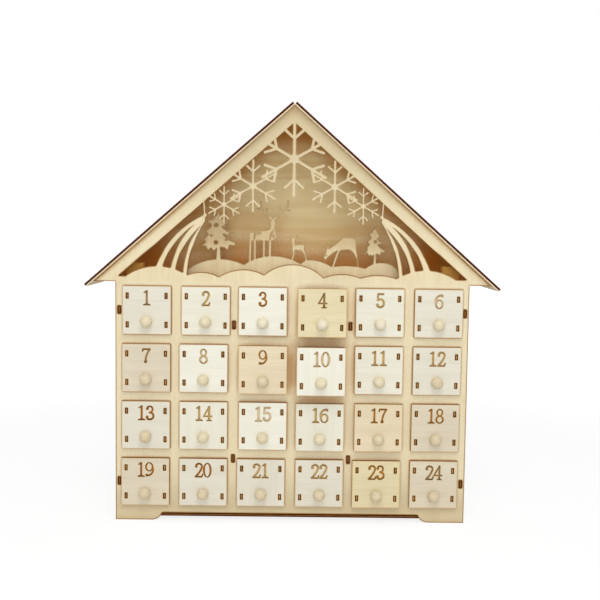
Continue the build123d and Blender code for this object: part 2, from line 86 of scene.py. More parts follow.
# Noise: numbers of finer layers, their strength, and the stretches that hold most of its values
FINE_LAYERS = 3.0
SOME_LAYERS = 2.0
FEW_LAYERS = 1.0
LAYER_STRENGTH = 0.6
MOST_NOISE = (0.3, 0.7)
MIDDLE_NOISE = (0.36, 0.64)
CORNER_SAMPLES = 4
MATT_SHINE = 0.05
BRIGHTEST = 255
TURN_MATRIX_SIZE = 4


def srgb(red: int, green: int, blue: int) -> Colour:
    """Turn a colour as a screen shows it into the linear values that shaders take.

    Args:
        red: Red from 0 to 255.
        green: Green from 0 to 255.
        blue: Blue from 0 to 255.

    Returns:
        Linear red, green and blue, and an alpha of 1.
    """
    shown = Color((red / BRIGHTEST, green / BRIGHTEST, blue / BRIGHTEST))
    return (*shown.from_srgb_to_scene_linear(), 1.0)


class Lay(Enum):
    """How a sheet lies: the way that it faces, and the way that its fibres run."""

    FRONT_UPRIGHT = ((0, -1, 0), (0, 0, 1))
    FRONT_LEVEL = ((0, -1, 0), (1, 0, 0))
    SIDE_UPRIGHT = ((1, 0, 0), (0, 0, 1))
    SIDE_LEVEL = ((1, 0, 0), (0, 1, 0))
    FLAT = ((0, 0, 1), (1, 0, 0))
    FLAT_DEEP = ((0, 0, 1), (0, 1, 0))
    LEFT_SLOPE = (
        (-math.sin(ROOF_SLOPE), 0, math.cos(ROOF_SLOPE)),
        (math.cos(ROOF_SLOPE), 0, math.sin(ROOF_SLOPE)),
    )
    RIGHT_SLOPE = (
        (math.sin(ROOF_SLOPE), 0, math.cos(ROOF_SLOPE)),
        (math.cos(ROOF_SLOPE), 0, -math.sin(ROOF_SLOPE)),
    )

    @property
    def facing(self) -> Vector:
        """Unit vector square to the sheet."""
        return Vector(self.value[0])

    @property
    def fibres(self) -> Vector:
        """Unit vector along the face veneer's fibres."""
        return Vector(self.value[1])


class Part(IntEnum):
    """Material slot of each kind of surface on a sheet."""

    FACE = 0
    EDGE = 1
    ENGRAVED = 2
    ENGRAVED_WALL = 3


class Graph:
    """Node tree of a material or a world, with a method for each kind of node that trees share."""

    def __init__(self, owner: Material | bpy.types.World, output: str) -> None:
        """Empty the tree and give it an output.

        Args:
            owner: Material or world that has the tree.
            output: Blender's name for the kind of output.
        """
        owner.use_nodes = True
        self.tree = owner.node_tree
        self.tree.nodes.clear()
        self.output = self.node(output)

    def node(self, kind: str, **settings: object) -> bpy.types.Node:
        """Add a node.

        Args:
            kind: Blender's name for the kind of node.
            settings: Properties to set on it.

        Returns:
            The new node.
        """
        made = self.tree.nodes.new(kind)
        for name, value in settings.items():
            setattr(made, name, value)
        return made

    def link(self, start: Socket, end: Socket) -> None:
        """Join an output to an input."""
        self.tree.links.new(start, end)

    def feed(self, socket: Socket, value: object) -> None:
        """Give an input a value, or link it where the value is an output.

        Args:
            socket: Input to fill.
            value: Number, colour or output socket.
        """
        if isinstance(value, Socket):
            self.link(value, socket)
        else:
            socket.default_value = value

    def sheet(self) -> Socket:
        """Place on the sheet: along the fibres, across them, and depth from its middle."""
        return self.node("ShaderNodeAttribute", attribute_name=SHEET_ATTRIBUTE).outputs["Vector"]

    def place(self) -> Socket:
        """Place in the piece's own axes, which are the frame's at rest."""
        return self.node("ShaderNodeTexCoord").outputs["Object"]

    def third(self, vector: Socket) -> Socket:
        """Third number of a place.

        Args:
            vector: Place to take it from.

        Returns:
            The number.
        """
        split = self.node("ShaderNodeSeparateXYZ")
        self.link(vector, split.inputs[0])
        return split.outputs["Z"]

    def height(self) -> Socket:
        """Height above the ground."""
        return self.third(self.place())

    def scaled(self, vector: Socket, sizes: Sequence[float]) -> Socket:
        """Divide a place by sizes, so that a pattern of size 1 gets them.

        Args:
            vector: Place to scale.
            sizes: Size of the pattern along each axis.

        Returns:
            The scaled place.
        """
        made = self.node("ShaderNodeVectorMath", operation="MULTIPLY")
        self.link(vector, made.inputs[0])
        made.inputs[1].default_value = [1 / size for size in sizes]
        return made.outputs["Vector"]

    def noise(
        self, vector: Socket, sizes: Sequence[float], detail: float = FINE_LAYERS, distortion: float = 0.0
    ) -> Socket:
        """Noise whose grains have given sizes.

        Args:
            vector: Place to read the noise at.
            sizes: Size of a grain along each axis.
            detail: Number of finer layers.
            distortion: How far the grains are bent.

        Returns:
            Noise from 0 to 1, mostly near 0.5.
        """
        made = self.node("ShaderNodeTexNoise")
        self.link(self.scaled(vector, sizes), made.inputs["Vector"])
        made.inputs["Scale"].default_value = 1.0
        made.inputs["Detail"].default_value = detail
        made.inputs["Roughness"].default_value = LAYER_STRENGTH
        made.inputs["Distortion"].default_value = distortion
        return made.outputs["Fac"]

    def number(self, operation: str, first: object, second: object = 0.0) -> Socket:
        """Work out a number from others, each a value or an output.

        Args:
            operation: Blender's name for the sum.
            first: First number.
            second: Second number.

        Returns:
            The result.
        """
        made = self.node("ShaderNodeMath", operation=operation)
        self.feed(made.inputs[0], first)
        self.feed(made.inputs[1], second)
        return made.outputs[0]

    def spread(self, value: Socket, start: float, end: float, low: float = 0.0, high: float = 1.0) -> Socket:
        """Map a stretch of a number to another, with soft ends.

        Args:
            value: Number to map.
            start: Where the stretch starts.
            end: Where the stretch ends.
            low: Result at the start.
            high: Result at the end.

        Returns:
            The mapped number.
        """
        made = self.node("ShaderNodeMapRange", interpolation_type="SMOOTHSTEP")
        self.link(value, made.inputs["Value"])
        made.inputs["From Min"].default_value = start
        made.inputs["From Max"].default_value = end
        made.inputs["To Min"].default_value = low
        made.inputs["To Max"].default_value = high
        return made.outputs["Result"]

    def mix(self, share: object, first: object, second: object) -> Socket:
        """Mix two colours.

        Args:
            share: Share of the second colour.
            first: First colour or output.
            second: Second colour or output.

        Returns:
            The mixed colour.
        """
        made = self.node("ShaderNodeMix", data_type="RGBA")
        colours = [socket for socket in made.inputs if socket.type == "RGBA"]
        self.feed(made.inputs["Factor"], share)
        self.feed(colours[0], first)
        self.feed(colours[1], second)
        return next(socket for socket in made.outputs if socket.type == "RGBA")

    def nearness(self, reach: float, inside: bool = False, alone: bool = True) -> Socket:
        """How near a point lies to a corner.

        Args:
            reach: Distance over which nearness fades out.
            inside: True for an outer edge, False for an inner corner.
            alone: True to heed only the piece's own surfaces, False to heed its neighbours too.

        Returns:
            0 away from every corner, and about 0.5 on one.
        """
        made = self.node(
            "ShaderNodeAmbientOcclusion", inside=inside, only_local=alone, samples=CORNER_SAMPLES
        )
        made.inputs["Distance"].default_value = reach
        return self.number("SUBTRACT", 1.0, made.outputs["AO"])


class SurfaceGraph(Graph):
    """Node tree of one finish, with one shader."""

    def __init__(self, name: str) -> None:
        """Start a material with its shader.

        Args:
            name: Name of the material.
        """
        self.material = bpy.data.materials.new(name)
        super().__init__(self.material, "ShaderNodeOutputMaterial")
        self.shader = self.node("ShaderNodeBsdfPrincipled")
        self.link(self.shader.outputs["BSDF"], self.output.inputs["Surface"])

    def dress(self, colour: Socket, roughness: Socket, specular: float) -> None:
        """Give the shader its colour and its gloss.

        Args:
            colour: Colour of the surface.
            roughness: Roughness of the surface.
            specular: Strength of its shine.
        """
        self.link(colour, self.shader.inputs["Base Color"])
        self.link(roughness, self.shader.inputs["Roughness"])
        self.shader.inputs["Specular IOR Level"].default_value = specular

    def bump(self, height: Socket, strength: float, distance: float) -> None:
        """Roughen the surface.

        Args:
            height: Height of the surface, from 0 to 1.
            strength: Strength of the effect.
            distance: Real height of 1.
        """
        made = self.node("ShaderNodeBump")
        made.inputs["Strength"].default_value = strength
        made.inputs["Distance"].default_value = distance
        self.link(height, made.inputs["Height"])
        self.link(made.outputs["Normal"], self.shader.inputs["Normal"])


class BackdropGraph(Graph):
    """Node tree of a floor or a sky, which looks one way and lights the object another way."""

    def even(self, kind: str, grey: float) -> bpy.types.Node:
        """Add a shader of an even grey.

        Args:
            kind: Blender's name for the kind of shader.
            grey: Linear grey, where 1 is white.

        Returns:
            The new shader.
        """
        made = self.node(kind)
        made.inputs["Color"].default_value = (grey, grey, grey, 1.0)
        return made

    def seen_straight(self) -> Socket:
        """Tell the rays that show the backdrop from those that light the object.

        Returns:
            1 for a ray from the camera, a reflection or clear glass, and 0 for other rays.
        """
        path = self.node("ShaderNodeLightPath")
        either = self.number("MAXIMUM", path.outputs["Is Camera Ray"], path.outputs["Is Glossy Ray"])
        return self.number("MAXIMUM", either, path.outputs["Is Transmission Ray"])

    def end(self, lighting: bpy.types.Node, shown: bpy.types.Node) -> None:
        """End the tree with one shader for each kind of ray.

        Args:
            lighting: Shader for the rays that light the object.
            shown: Shader for the rays that show the backdrop.
        """
        choice = self.node("ShaderNodeMixShader")
        self.link(self.seen_straight(), choice.inputs[0])
        self.link(lighting.outputs[0], choice.inputs[1])
        self.link(shown.outputs[0], choice.inputs[2])
        self.link(choice.outputs[0], self.output.inputs["Surface"])


@dataclass(frozen=True)
class PaintedShading:
    """Painted shading: colour laid on a veneer near inner corners, its own and those with its neighbours; a
    dark colour paints shade there, a pale one paints light.
    """

    colour: Colour
    reach: float
    span: Span
    depth: float

    def over(self, graph: Graph, wood: object) -> Socket:
        """Lay the painted shading over a colour.

        Args:
            graph: Node tree to add to.
            wood: Colour under the painted shading.

        Returns:
            The colour with its painted shading.
        """
        corner = graph.nearness(self.reach, alone=False)
        return graph.mix(graph.spread(corner, *self.span, 0.0, self.depth), wood, self.colour)


@dataclass(frozen=True)
class Veneer:
    """Sanded face of plywood: fine fibres, broad figure, flecks, a scorch beside each laser cut, painted
    shading near corners and a darkening towards given heights.

    A pattern's size is given along the fibres, across them and through the sheet.
    """

    name: str
    pale: Colour
    deep: Colour
    fleck: Colour = srgb(176, 140, 92)
    scorch: Colour = srgb(160, 118, 50)
    fibre_size: Size = (0.045, 0.0007, THROUGH)
    figure_size: Size = (0.160, 0.011, THROUGH)
    cloud_size: Size = (0.075, 0.045, THROUGH)
    fleck_size: Size = (0.0060, 0.0005, THROUGH)
    fibre_share: float = 0.45
    cloud_share: float = 0.20
    figure_bend: float = 0.8
    fleck_span: Span = (0.70, 0.80)
    fleck_depth: float = 0.40
    scorch_reach: float = 0.0014
    scorch_span: Span = (0.05, 0.30)
    scorch_depth: float = 0.25
    snow_scorch: float = 0.25
    # Between these heights the scorch goes from the snow's depth to the plain one
    snow_heights: Span = (0.262, 0.272)
    # Painted shade near corners and between parts, and painted light where a pale colour lifts it
    painted_shadings: tuple[PaintedShading, ...] = ()
    # Colour that the face darkens to towards given heights; the default is the house panel's painted shade
    height_darkening: Colour = srgb(207, 189, 149)
    end_depth: float = 0.0
    # Between these heights the darkening sets in, at the foot and in the gable, where it is painted shade
    darkening_heights: tuple[Span, ...] = ((0.055, 0.012), (0.270, 0.380))
    roughness: Span = (0.66, 0.54)
    specular: float = 0.30
    bump_strength: float = 0.25
    bump_height: float = 0.00006

    def material(self) -> Material:
        """Make the finish.

        Returns:
            The new material.
        """
        graph = SurfaceGraph(self.name)
        place = graph.sheet()
        fibres = graph.noise(place, self.fibre_size)
        figure = graph.noise(place, self.figure_size, SOME_LAYERS, self.figure_bend)
        cloud = graph.noise(place, self.cloud_size, SOME_LAYERS)
        fine = graph.number("MULTIPLY", fibres, self.fibre_share)
        broad = graph.number("MULTIPLY", figure, 1.0 - self.cloud_share - self.fibre_share)
        clouded = graph.number("MULTIPLY", cloud, self.cloud_share)
        grain = graph.number("ADD", graph.number("ADD", fine, broad), clouded)
        wood = graph.mix(graph.spread(grain, *MIDDLE_NOISE), self.deep, self.pale)
        flecks = graph.noise(place, self.fleck_size, FEW_LAYERS)
        wood = graph.mix(graph.spread(flecks, *self.fleck_span, 0.0, self.fleck_depth), wood, self.fleck)
        # Painted shade near corners and between parts, and painted light where a pale colour lifts it
        for painted_shading in self.painted_shadings:
            wood = painted_shading.over(graph, wood)
        # Darker towards given heights; on the house panel this is painted shade at the foot and in the gable
        if self.end_depth:
            for heights in self.darkening_heights:
                toned = graph.spread(graph.height(), *heights, 0.0, self.end_depth)
                wood = graph.mix(toned, wood, self.height_darkening)
        smoke = graph.spread(graph.nearness(self.scorch_reach, inside=True), *self.scorch_span)
        depth = graph.spread(graph.height(), *self.snow_heights, self.snow_scorch, self.scorch_depth)
        wood = graph.mix(graph.number("MULTIPLY", smoke, depth), wood, self.scorch)
        graph.dress(wood, graph.spread(fibres, *MOST_NOISE, *self.roughness), self.specular)
        graph.bump(fibres, self.bump_strength, self.bump_height)
        return graph.material


@dataclass(frozen=True)
class CharredEdge:
    """Laser-cut edge of plywood: dark outer plies, a browner core, lines where the beam passed and, where
    given, a pale painted highlight below one depth.
    """

    name: str
    char: Colour
    toast: Colour
    core_half: float = 0.00055
    core_fade: float = 0.00035
    rim_reach: float = 0.0012
    rim_span: Span = (0.02, 0.20)
    beam_size: float = 0.00035
    beam_length: float = 0.02
    beam_span: Span = (0.35, 0.70)
    beam_depth: float = 0.30
    patch_size: float = 0.009
    patch_thickness: float = 0.004
    patch_span: Span = (0.30, 0.62)
    patch_least: float = 0.60
    # Painted highlight: pale colour below a depth through the sheet, in place of the lit underside of an
    # overhang
    painted_highlight: Colour = srgb(240, 226, 192)
    painted_highlight_depth: float | None = None
    painted_highlight_fade: float = 0.00015
    roughness: Span = (0.78, 0.94)
    specular: float = MATT_SHINE
    bump_strength: float = 0.5
    bump_height: float = 0.00008

    def material(self) -> Material:
        """Make the finish.

        Returns:
            The new material.
        """
        graph = SurfaceGraph(self.name)
        place = graph.sheet()
        depth = graph.third(place)
        from_middle = graph.number("ABSOLUTE", depth)
        core = graph.spread(from_middle, self.core_half, self.core_half + self.core_fade, 1.0, 0.0)
        beam = graph.noise(place, (self.beam_size, self.beam_size, self.beam_length), SOME_LAYERS)
        patch = graph.noise(place, (self.patch_size, self.patch_size, self.patch_thickness), SOME_LAYERS)
        core = graph.number("MULTIPLY", core, graph.spread(patch, *self.patch_span, self.patch_least, 1.0))
        rim = graph.spread(graph.nearness(self.rim_reach, inside=True), *self.rim_span, 1.0, 0.0)
        core = graph.number("MULTIPLY", core, rim)
        wood = graph.mix(core, self.char, self.toast)
        wood = graph.mix(graph.spread(beam, *self.beam_span, 0.0, self.beam_depth), wood, self.char)
        # Painted highlight below the given depth
        if self.painted_highlight_depth is not None:
            start = self.painted_highlight_depth - self.painted_highlight_fade
            end = self.painted_highlight_depth + self.painted_highlight_fade
            wood = graph.mix(graph.spread(depth, start, end, 1.0, 0.0), wood, self.painted_highlight)
        graph.dress(wood, graph.spread(beam, *MOST_NOISE, *self.roughness), self.specular)
        graph.bump(beam, self.bump_strength, self.bump_height)
        return graph.material


@dataclass(frozen=True)
class Engraving:
    """Floor of an engraved numeral: golden wood, burnt darker at its outline, its top and its foot."""

    name: str
    gold: Colour
    burnt: Colour
    line_size: Size = (0.012, 0.00012, THROUGH)
    line_span: Span = (0.4, 0.7)
    line_depth: float = 0.2
    patch_size: Size = (0.004, 0.004, THROUGH)
    patch_span: Span = (0.45, 0.75)
    patch_depth: float = 0.25
    outline_reach: float = 0.0006
    outline_span: Span = (0.05, 0.32)
    outline_at_ends: float = 0.30
    lowest_number: float = 0.0510
    row_pitch: float = 0.0562
    end_reach: Span = (0.0028, 0.0064)
    end_depth: float = 0.35
    roughness: Span = (0.70, 0.85)
    specular: float = 0.20
    bump_strength: float = 0.4
    bump_height: float = 0.00004

    def material(self) -> Material:
        """Make the finish.

        Returns:
            The new material.
        """
        graph = SurfaceGraph(self.name)
        place = graph.sheet()
        lines = graph.noise(place, self.line_size, FEW_LAYERS)
        patch = graph.noise(place, self.patch_size, SOME_LAYERS)
        outline = graph.spread(graph.nearness(self.outline_reach), *self.outline_span)
        rise = graph.number("SUBTRACT", graph.height(), self.lowest_number - self.row_pitch / 2)
        rise = graph.number("FLOORED_MODULO", rise, self.row_pitch)
        from_middle = graph.number("ABSOLUTE", graph.number("SUBTRACT", rise, self.row_pitch / 2))
        ends = graph.spread(from_middle, *self.end_reach)
        at_ends = graph.number("MULTIPLY", ends, self.outline_at_ends)
        strength = graph.number("ADD", at_ends, 1.0 - self.outline_at_ends)
        burn = graph.number("MULTIPLY", outline, strength)
        burn = graph.number("ADD", burn, graph.number("MULTIPLY", ends, self.end_depth))
        burn = graph.number("ADD", burn, graph.spread(patch, *self.patch_span, 0.0, self.patch_depth))
        burn = graph.number("ADD", burn, graph.spread(lines, *self.line_span, 0.0, self.line_depth))
        wood = graph.mix(graph.number("MINIMUM", burn, 1.0), self.gold, self.burnt)
        graph.dress(wood, graph.spread(lines, *MOST_NOISE, *self.roughness), self.specular)
        graph.bump(lines, self.bump_strength, self.bump_height)
        return graph.material


@dataclass(frozen=True)
class TurnedWood:
    """Turned knob: growth rings across its end grain and fine lines from the lathe."""

    name: str
    pale: Colour
    deep: Colour
    ring_size: Size = (0.02, 0.0016, 0.012)
    ring_bend: float = 0.5
    lathe_size: Size = (0.0004, 0.02, 0.02)
    pore_size: Size = (0.002, 0.0003, 0.0003)
    pore_span: Span = (0.62, 0.78)
    pore_depth: float = 0.35
    roughness: Span = (0.58, 0.46)
    specular: float = 0.35
    bump_strength: float = 0.2
    bump_height: float = 0.00004

    def material(self) -> Material:
        """Make the finish.

        Returns:
            The new material.
        """
        graph = SurfaceGraph(self.name)
        place = graph.sheet()
        rings = graph.noise(place, self.ring_size, FINE_LAYERS, self.ring_bend)
        lathe = graph.noise(place, self.lathe_size, FEW_LAYERS)
        pores = graph.noise(place, self.pore_size, FEW_LAYERS)
        wood = graph.mix(graph.spread(rings, *MIDDLE_NOISE), self.deep, self.pale)
        wood = graph.mix(graph.spread(pores, *self.pore_span, 0.0, self.pore_depth), wood, self.deep)
        graph.dress(wood, graph.spread(rings, *MOST_NOISE, *self.roughness), self.specular)
        graph.bump(lathe, self.bump_strength, self.bump_height)
        return graph.material


class Burn(Enum):
    """How strongly a number was burnt: colours of its floor and of its outline."""

    TRACE = (srgb(242, 226, 188), srgb(166, 130, 80))
    FAINT = (srgb(236, 214, 162), srgb(124, 86, 30))
    GOLDEN = (srgb(222, 186, 114), srgb(88, 56, 12))
    BROWN = (srgb(178, 146, 98), srgb(26, 12, 2))
    CHARRED = (srgb(172, 140, 92), srgb(8, 3, 0))
    DEEP = (srgb(196, 130, 40), srgb(50, 20, 0))
    TOASTED = (srgb(186, 112, 4), srgb(24, 8, 0))

    def finish(self) -> Engraving:
        """Engraving burnt this strongly."""
        return Engraving(f"numeral_floor_{self.name.lower()}", *self.value)


class FrontTone(Enum):
    """Tones of the veneer that the drawer fronts are cut from, with the record's slot for each."""

    WHITE = ("front_white", srgb(245, 243, 229), srgb(237, 234, 217))
    PEARL = ("front_white", srgb(240, 237, 220), srgb(231, 227, 208))
    IVORY = ("front_cream", srgb(234, 229, 213), srgb(224, 218, 200))
    OAT = ("front_cream", srgb(229, 218, 194), srgb(217, 205, 181))
    STRAW = ("front_straw", srgb(234, 221, 182), srgb(222, 208, 167))
    HONEY = ("front_straw", srgb(237, 222, 191), srgb(226, 210, 177))

    @property
    def slot(self) -> str:
        """The record's material slot."""
        return self.value[0]

    def finish(self) -> Veneer:
        """Veneer of this tone, with a narrow golden scorch.

        Returns:
            The finish.
        """
        return Veneer(
            f"front_veneer_{self.name.lower()}",
            *self.value[1:],
            scorch=srgb(216, 164, 66),
            scorch_reach=0.0009,
            snow_scorch=0.6,
        )


class KnobTone(Enum):
    """Tones of the wood that the knobs are turned from."""

    MAPLE = (srgb(239, 231, 205), srgb(232, 222, 193))
    BIRCH = (srgb(234, 223, 191), srgb(226, 213, 178))
    BEECH = (srgb(227, 211, 177), srgb(217, 200, 165))

    def finish(self) -> TurnedWood:
        """Turned wood of this tone."""
        return TurnedWood(f"knob_wood_{self.name.lower()}", *self.value)


@dataclass(frozen=True)
class Finishes:
    """All materials of the calendar, made once and shared by its pieces."""

    house: Material
    inner: Material
    backdrop: Material
    scene: Material
    block: Material
    outside: Material
    tray: Material
    house_edge: Material
    wall_edge: Material
    roof_edge: Material
    front_edge: Material
    tray_edge: Material
    engravings: dict[Burn, Material]
    engraving_wall: Material
    knobs: dict[KnobTone, Material]
    fronts: dict[FrontTone, Material]

    @classmethod
    def make(cls) -> "Finishes":
        """Make every material.

        Returns:
            The set of materials.
        """
        # Warm colour of the painted shade in the gable's corners and recesses
        painted_shade_ochre = srgb(204, 120, 16)
        house = Veneer(
            "house_veneer",
            srgb(238, 223, 185),
            srgb(227, 209, 168),
            scorch=srgb(152, 104, 34),
            scorch_depth=0.2,
            snow_scorch=1.0,
            painted_shadings=(
                # Painted light that lifts the shade on the panel between the drawer fronts
                PaintedShading(srgb(255, 246, 210), 0.0140, (0.04, 0.16), 0.78),
                # Painted shadow in the deep trench between drawers that stand far out
                PaintedShading(srgb(184, 122, 42), 0.0200, (0.37, 0.52), 0.85),
                # Painted contact shade in the narrow gap around each drawer front
                PaintedShading(srgb(186, 128, 44), 0.0016, (0.08, 0.38), 0.85),
            ),
            # Painted shade towards the foot and in the gable under the roof
            end_depth=0.7,
        )
        inner = Veneer(
            "inner_veneer",
            srgb(238, 222, 182),
            srgb(228, 209, 166),
            specular=MATT_SHINE,
            # Painted warm shade in the corners
            painted_shadings=(PaintedShading(painted_shade_ochre, 0.050, (0.38, 0.52), 0.8),),
        )
        backdrop = Veneer(
            "backdrop_veneer",
            srgb(250, 231, 180),
            srgb(236, 207, 148),
            figure_size=(0.300, 0.017, THROUGH),
            fibre_share=0.10,
            specular=MATT_SHINE,
            painted_shadings=(
                # Painted warm shade in the corners and around the figures
                PaintedShading(painted_shade_ochre, 0.050, (0.38, 0.52), 0.98),
                # Painted warm shade, paler and orange, a little further from the corners
                PaintedShading(srgb(252, 186, 104), 0.022, (0.20, 0.45), 0.90),
            ),
        )
        scene = Veneer(
            "scene_veneer",
            srgb(240, 226, 184),
            srgb(226, 208, 164),
            scorch_reach=0.0012,
            scorch_depth=0.6,
            snow_scorch=0.7,
            # Figures above the hills' tops darker and browner
            height_darkening=srgb(196, 156, 100),
            end_depth=0.45,
            darkening_heights=((0.260, 0.276),),
            # Faint painted warm shade near corners
            painted_shadings=(PaintedShading(painted_shade_ochre, 0.050, (0.34, 0.54), 0.08),),
        )
        outside = Veneer("outside_veneer", srgb(238, 225, 192), srgb(228, 212, 176))
        # Amber colour of the blocks paints the warm shade of the gable's low corners
        block = Veneer("block_painted_warm_shade", srgb(250, 198, 104), srgb(236, 180, 86), specular=MATT_SHINE)
        tray = Veneer("tray_veneer", srgb(230, 216, 184), srgb(216, 199, 164))
        return cls(
            house=house.material(),
            inner=inner.material(),
            backdrop=backdrop.material(),
            scene=scene.material(),
            block=block.material(),
            outside=outside.material(),
            tray=tray.material(),
            house_edge=CharredEdge("house_edge", srgb(62, 32, 16), srgb(120, 76, 44)).material(),
            wall_edge=CharredEdge(
                "wall_edge", srgb(58, 26, 14), srgb(176, 112, 54), core_half=0.00030, core_fade=0.00050
            ).material(),
            # Painted highlight on the lowest ply along the roof's edges
            roof_edge=CharredEdge(
                "roof_edge", srgb(72, 28, 12), srgb(92, 42, 20), painted_highlight_depth=-0.0007
            ).material(),
            front_edge=CharredEdge("front_edge", srgb(90, 46, 4), srgb(124, 70, 8)).material(),
            tray_edge=CharredEdge(
                "tray_edge", srgb(30, 8, 0), srgb(230, 164, 96), core_half=0.00034, core_fade=0.00030
            ).material(),
            engravings={burn: burn.finish().material() for burn in Burn},
            engraving_wall=CharredEdge("numeral_wall", srgb(56, 28, 8), srgb(84, 50, 16)).material(),
            knobs={tone: tone.finish().material() for tone in KnobTone},
            fronts={tone: tone.finish().material() for tone in FrontTone},
        )


def islands(made: Mesh) -> list[list[Face]]:
    """Sort the faces of a mesh by solid.

    Args:
        made: Mesh whose doubles are merged.

    Returns:
        A list of faces for each solid.
    """
    left = set(made.faces)
    found = []
    for start in made.faces:
        if start not in left:
            continue
        left.remove(start)
        edge_of_growth = [start]
        solid = []
        while edge_of_growth:
            face = edge_of_growth.pop()
            solid.append(face)
            for edge in face.edges:
                beside = left.intersection(edge.link_faces)
                left -= beside
                edge_of_growth.extend(beside)
        found.append(solid)
    return found


def copied(node: str) -> Mesh:
    """Copy a CAD node's mesh with its doubles merged.

    Args:
        node: Name of the node.

    Returns:
        The copy.
    """
    made = bmesh.new()
    made.from_mesh(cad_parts[node].data)
    bmesh.ops.remove_doubles(made, verts=made.verts[:], dist=MERGE_DISTANCE)
    return made


def sharp_edges(made: Mesh) -> list[bmesh.types.BMEdge]:
    """Edges where two faces meet at an angle."""
    return [edge for edge in made.edges if edge.calc_face_angle(0.0) > SMOOTH_ANGLE]


def mark_sheet(made: Mesh, faces: Iterable[Face], lay: Lay, seed: int) -> None:
    """Give one sheet its places along and across the fibres, and sort its faces from its cut edges.

    Args:
        made: Mesh that holds the sheet.
        faces: Faces of the sheet.
        lay: How the sheet lies.
        seed: Number that picks where in the stock the sheet was cut.
    """
    layer = made.verts.layers.float_vector.get(SHEET_ATTRIBUTE)
    if layer is None:
        layer = made.verts.layers.float_vector.new(SHEET_ATTRIBUTE)
    facing = lay.facing
    fibres = lay.fibres
    across = facing.cross(fibres)
    faces = list(faces)
    verts = {vert for face in faces for vert in face.verts}
    depths = [vert.co.dot(facing) for vert in verts]
    middle = (min(depths) + max(depths)) / 2
    half = (max(depths) - min(depths)) / 2
    along_stock = (seed * GOLDEN_SHARE % 1) * SHEET_STOCK
    across_stock = (seed * GOLDEN_SHARE * GOLDEN_SHARE % 1) * SHEET_STOCK
    for vert in verts:
        along_fibres = vert.co.dot(fibres) + along_stock
        across_fibres = vert.co.dot(across) + across_stock
        vert[layer] = Vector((along_fibres, across_fibres, vert.co.dot(facing) - middle))
    for face in faces:
        depths = [abs(vert[layer].z) for vert in face.verts]
        lowest = min(vert[layer].z for vert in face.verts)
        if abs(face.normal.dot(facing)) > SQUARE_ON:
            face.material_index = Part.FACE if min(depths) > half - DEPTH_TOLERANCE else Part.ENGRAVED
        else:
            face.material_index = Part.EDGE if lowest < DEPTH_TOLERANCE else Part.ENGRAVED_WALL


@dataclass
class Piece:
    """One shown piece: its mesh, what it rides on and what it stands for."""

    name: str
    body: str
    node: str
    slot: str
    materials: Sequence[Material]

    def show(self, made: Mesh) -> None:
        """Turn a finished mesh into the piece.

        Args:
            made: Mesh of the piece, which is freed.
        """
        mesh = bpy.data.meshes.new(self.name)
        for face in made.faces:
            face.smooth = True
        made.to_mesh(mesh)
        made.free()
        stored = mesh.attributes.get(STORED_NORMALS)
        if stored is not None:
            mesh.attributes.remove(stored)
        mesh.set_sharp_from_angle(angle=SMOOTH_ANGLE)
        for material in self.materials:
            mesh.materials.append(material)
        shown = bpy.data.objects.new(self.name, mesh)
        bpy.context.scene.collection.objects.link(shown)
        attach(shown, self.body)
        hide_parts(self.node)
        LOG.info("%s: %d faces on %s", self.name, len(mesh.polygons), self.body)


@dataclass
class House:
    """The house: panels, walls, boards, fretwork scene and roof."""

    finishes: Finishes
    body: str = "house"
    slot: str = "house_ply"
    seed_step: int = 7
    block_seed: int = 90
    block_ease: float = 0.0004
    ease_steps: int = 2
    ease_roundness: float = 0.5

    def sheets(self) -> dict[str, tuple[Lay, Material, Material]]:
        """Describe the sheets of each node.

        Returns:
            Lay, face finish and edge finish, by the node's name.
        """
        looks = self.finishes
        plain = (looks.inner, looks.house_edge)
        wall = (looks.inner, looks.wall_edge)
        return {
            "front_panel": (Lay.FRONT_UPRIGHT, looks.house, looks.house_edge),
            "back_panel": (Lay.FRONT_LEVEL, looks.backdrop, looks.house_edge),
            "left_side": (Lay.SIDE_UPRIGHT, *wall),
            "right_side": (Lay.SIDE_UPRIGHT, *wall),
            "base_board": (Lay.FLAT, *wall),
            "shelves": (Lay.FLAT, *plain),
            "dividers": (Lay.SIDE_UPRIGHT, *wall),
            "attic_floor": (Lay.FLAT, *plain),
            "scene_panel": (Lay.FRONT_UPRIGHT, looks.scene, looks.house_edge),
            "roof_left": (Lay.LEFT_SLOPE, looks.outside, looks.roof_edge),
            "roof_right": (Lay.RIGHT_SLOPE, looks.outside, looks.roof_edge),
        }

    @staticmethod
    def outward() -> dict[str, Vector]:
        """Tell where the outside is of the sheets that have another finish there.

        Returns:
            Unit vector to the outside, by the node's name.
        """
        return {
            "left_side": Vector((-1, 0, 0)),
            "right_side": Vector((1, 0, 0)),
            "back_panel": Vector((0, 1, 0)),
        }

    def build(self) -> None:
        """Build and dress every sheet, and the blocks in the corners of the gable."""
        for place, (node, (lay, face, edge)) in enumerate(self.sheets().items()):
            made = copied(node)
            for count, solid in enumerate(islands(made)):
                mark_sheet(made, solid, lay, self.seed_step * place + count)
            materials = [face, edge]
            if node in self.outward():
                materials.append(self.finishes.outside)
                for side in made.faces:
                    if side.normal.dot(self.outward()[node]) > SQUARE_ON:
                        side.material_index = OUTSIDE_INDEX
            Piece(f"{node}_ply", self.body, node, self.slot, materials).show(made)
        self.build_blocks()

    def build_blocks(self) -> None:
        """Build the two blocks, whose sides are all sawn faces."""
        made = copied("corner_blocks")
        for count, solid in enumerate(islands(made)):
            mark_sheet(made, solid, Lay.FRONT_LEVEL, self.block_seed + count)
            for face in solid:
                face.material_index = Part.FACE
        bmesh.ops.bevel(
            made,
            geom=sharp_edges(made),
            offset=self.block_ease,
            affect="EDGES",
            segments=self.ease_steps,
            profile=self.ease_roundness,
            material=NEIGHBOUR_INDEX,
        )
        # Amber finish: painted warm shade of the gable's corners
        wood = (self.finishes.block,)
        Piece("corner_blocks_wood", self.body, "corner_blocks", self.slot, wood).show(made)


